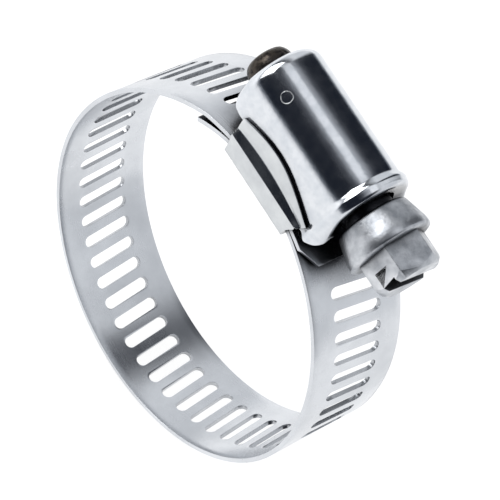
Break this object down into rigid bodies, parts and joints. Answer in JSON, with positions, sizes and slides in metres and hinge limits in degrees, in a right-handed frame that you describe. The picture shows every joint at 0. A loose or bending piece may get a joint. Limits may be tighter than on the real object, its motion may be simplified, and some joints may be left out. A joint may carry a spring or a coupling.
{
  "type": "worm-drive hose clamp",
  "caption": "Worm-drive hose clamp: a slotted steel band drawn round a hose by a hex-head screw in a sheet-metal housing.",
  "frame": {"origin": "centre of the round seat that holds the hose", "axes": "+Y along the hose, +Z from the hose towards the housing, +X along the screw towards its hex head"},
  "size_m": [0.0496, 0.016, 0.0615],
  "materials": {
    "housing": "bright rolled stainless sheet",
    "saddle": "bright rolled stainless sheet",
    "screw": "zinc plated, slightly rough",
    "band": "satin rolled stainless strip"
  },
  "bodies": {
    "housing_side": {"housing": "housing", "saddle": "saddle", "band_anchored": "band"},
    "band_lower_half": {"band_lower": "band"},
    "band_free_end": {"band_free": "band"},
    "screw": {"screw": "screw"}
  },
  "joints": [
    {"name": "screw_turn", "type": "hinge", "parent": "housing_side", "child": "screw", "pos_m": [0, 0, 0.03056], "axis": [-1, 0, 0], "range_deg": [-540, 540]},
    {"name": "band_flex_anchored", "type": "hinge", "parent": "housing_side", "child": "band_lower_half", "pos_m": [0.02449, 0, 0.0007], "axis": [0, 1, 0], "range_deg": [-6, 6]},
    {"name": "band_flex_free", "type": "hinge", "parent": "band_lower_half", "child": "band_free_end", "pos_m": [-0.02449, 0, 0.0007], "axis": [0, 1, 0], "range_deg": [-6, 6]}
  ],
  "couplings": [
    {"joint": "band_flex_anchored", "follows": "screw_turn", "ratio": 0.0092},
    {"joint": "band_flex_free", "follows": "screw_turn", "ratio": 0.0092}
  ]
}
